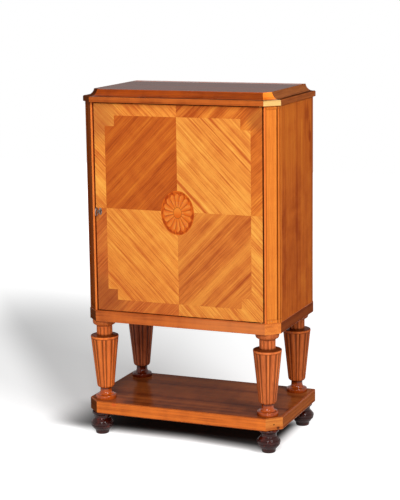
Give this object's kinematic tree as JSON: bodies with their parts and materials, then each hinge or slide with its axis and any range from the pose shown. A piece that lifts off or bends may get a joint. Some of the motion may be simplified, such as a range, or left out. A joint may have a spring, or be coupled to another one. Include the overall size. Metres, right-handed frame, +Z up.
{
  "type": "cellarette",
  "caption": "Inlaid drinks cabinet with canted corners and one locked door, raised on turned and reeded legs above a low shelf on turned feet.",
  "frame": {"origin": "on the floor, under the middle of the bounding box with the key in its lock", "axes": "+Z up, -Y towards the front of the cabinet, +X to the viewer's right when facing the door"},
  "size_m": [0.628, 0.3801, 1.05],
  "materials": {
    "back_wood": "oiled",
    "banding_dark": "french polish, straight grain",
    "banding_light": "french polish, straight grain",
    "brass": "aged polish",
    "carcase_wood": "french polish",
    "cornice_wood": "french polish",
    "foot_wood": "french polish, dark stain",
    "inner_wood": "waxed",
    "leg_wood": "french polish",
    "lock_steel": "satin",
    "medallion_inlay": "french polish, inlaid",
    "stand_wood": "french polish",
    "veneer_dark": "french polish, straight grain",
    "veneer_light": "french polish, straight grain"
  },
  "bodies": {
    "carcase": {"back_panel": "back_wood", "base_facing_left": "stand_wood", "base_facing_right": "stand_wood", "base_rail_back": "stand_wood", "base_rail_front": "stand_wood", "base_rail_left": "stand_wood", "base_rail_right": "stand_wood", "carcase_ceiling": "inner_wood", "carcase_floor": "inner_wood", "cornice_batten": "cornice_wood", "cornice_front": "cornice_wood", "cornice_left": "cornice_wood", "cornice_left_cant": "cornice_wood", "cornice_right": "cornice_wood", "cornice_right_cant": "cornice_wood", "foot_front_left": "foot_wood", "foot_front_right": "foot_wood", "foot_rear_left": "foot_wood", "foot_rear_right": "foot_wood", "front_post_left": "carcase_wood", "front_post_right": "carcase_wood", "hinge_leaves_frame": "brass", "inner_shelf": "inner_wood", "leg_front_left": "leg_wood", "leg_front_right": "leg_wood", "leg_rear_left": "leg_wood", "leg_rear_right": "leg_wood", "rear_post_left": "carcase_wood", "rear_post_right": "carcase_wood", "shelf_bearers": "inner_wood", "shelf_board": "stand_wood", "shelf_lipping_front": "stand_wood", "shelf_lipping_left": "stand_wood", "shelf_lipping_left_cant": "stand_wood", "shelf_lipping_right": "stand_wood", "shelf_lipping_right_cant": "stand_wood", "side_panel_left": "carcase_wood", "side_panel_right": "carcase_wood", "strike_plate": "brass", "top_board": "cornice_wood"},
    "door": {"banding_lower_left": "banding_dark", "banding_lower_right": "banding_light", "banding_upper_left": "banding_light", "banding_upper_right": "banding_dark", "door_core": "inner_wood", "door_lipping_bottom": "carcase_wood", "door_lipping_left": "carcase_wood", "door_lipping_right": "carcase_wood", "door_lipping_top": "carcase_wood", "escutcheon": "brass", "hinge_leaves_door": "brass", "lock_case": "lock_steel", "medallion": "medallion_inlay", "veneer_lower_left": "veneer_light", "veneer_lower_right": "veneer_dark", "veneer_upper_left": "veneer_dark", "veneer_upper_right": "veneer_light"},
    "key": {"key": "brass"},
    "bolt": {"lock_bolt": "lock_steel"}
  },
  "joints": [
    {"name": "door_hinge", "type": "hinge", "parent": "carcase", "child": "door", "pos_m": [0.255, -0.14505, 0.7], "axis": [0, 0, 1], "range_deg": [0, 105]},
    {"name": "key_turn", "type": "hinge", "parent": "door", "child": "key", "pos_m": [-0.2476, -0.14, 0.693], "axis": [0, -1, 0], "range_deg": [0, 360]},
    {"name": "bolt_throw", "type": "slide", "parent": "door", "child": "bolt", "axis": [-1, 0, 0], "range_m": [0, 0.01]}
  ],
  "couplings": [
    {"joint": "bolt_throw", "follows": "key_turn", "m_per_rad": 0.0015915}
  ]
}
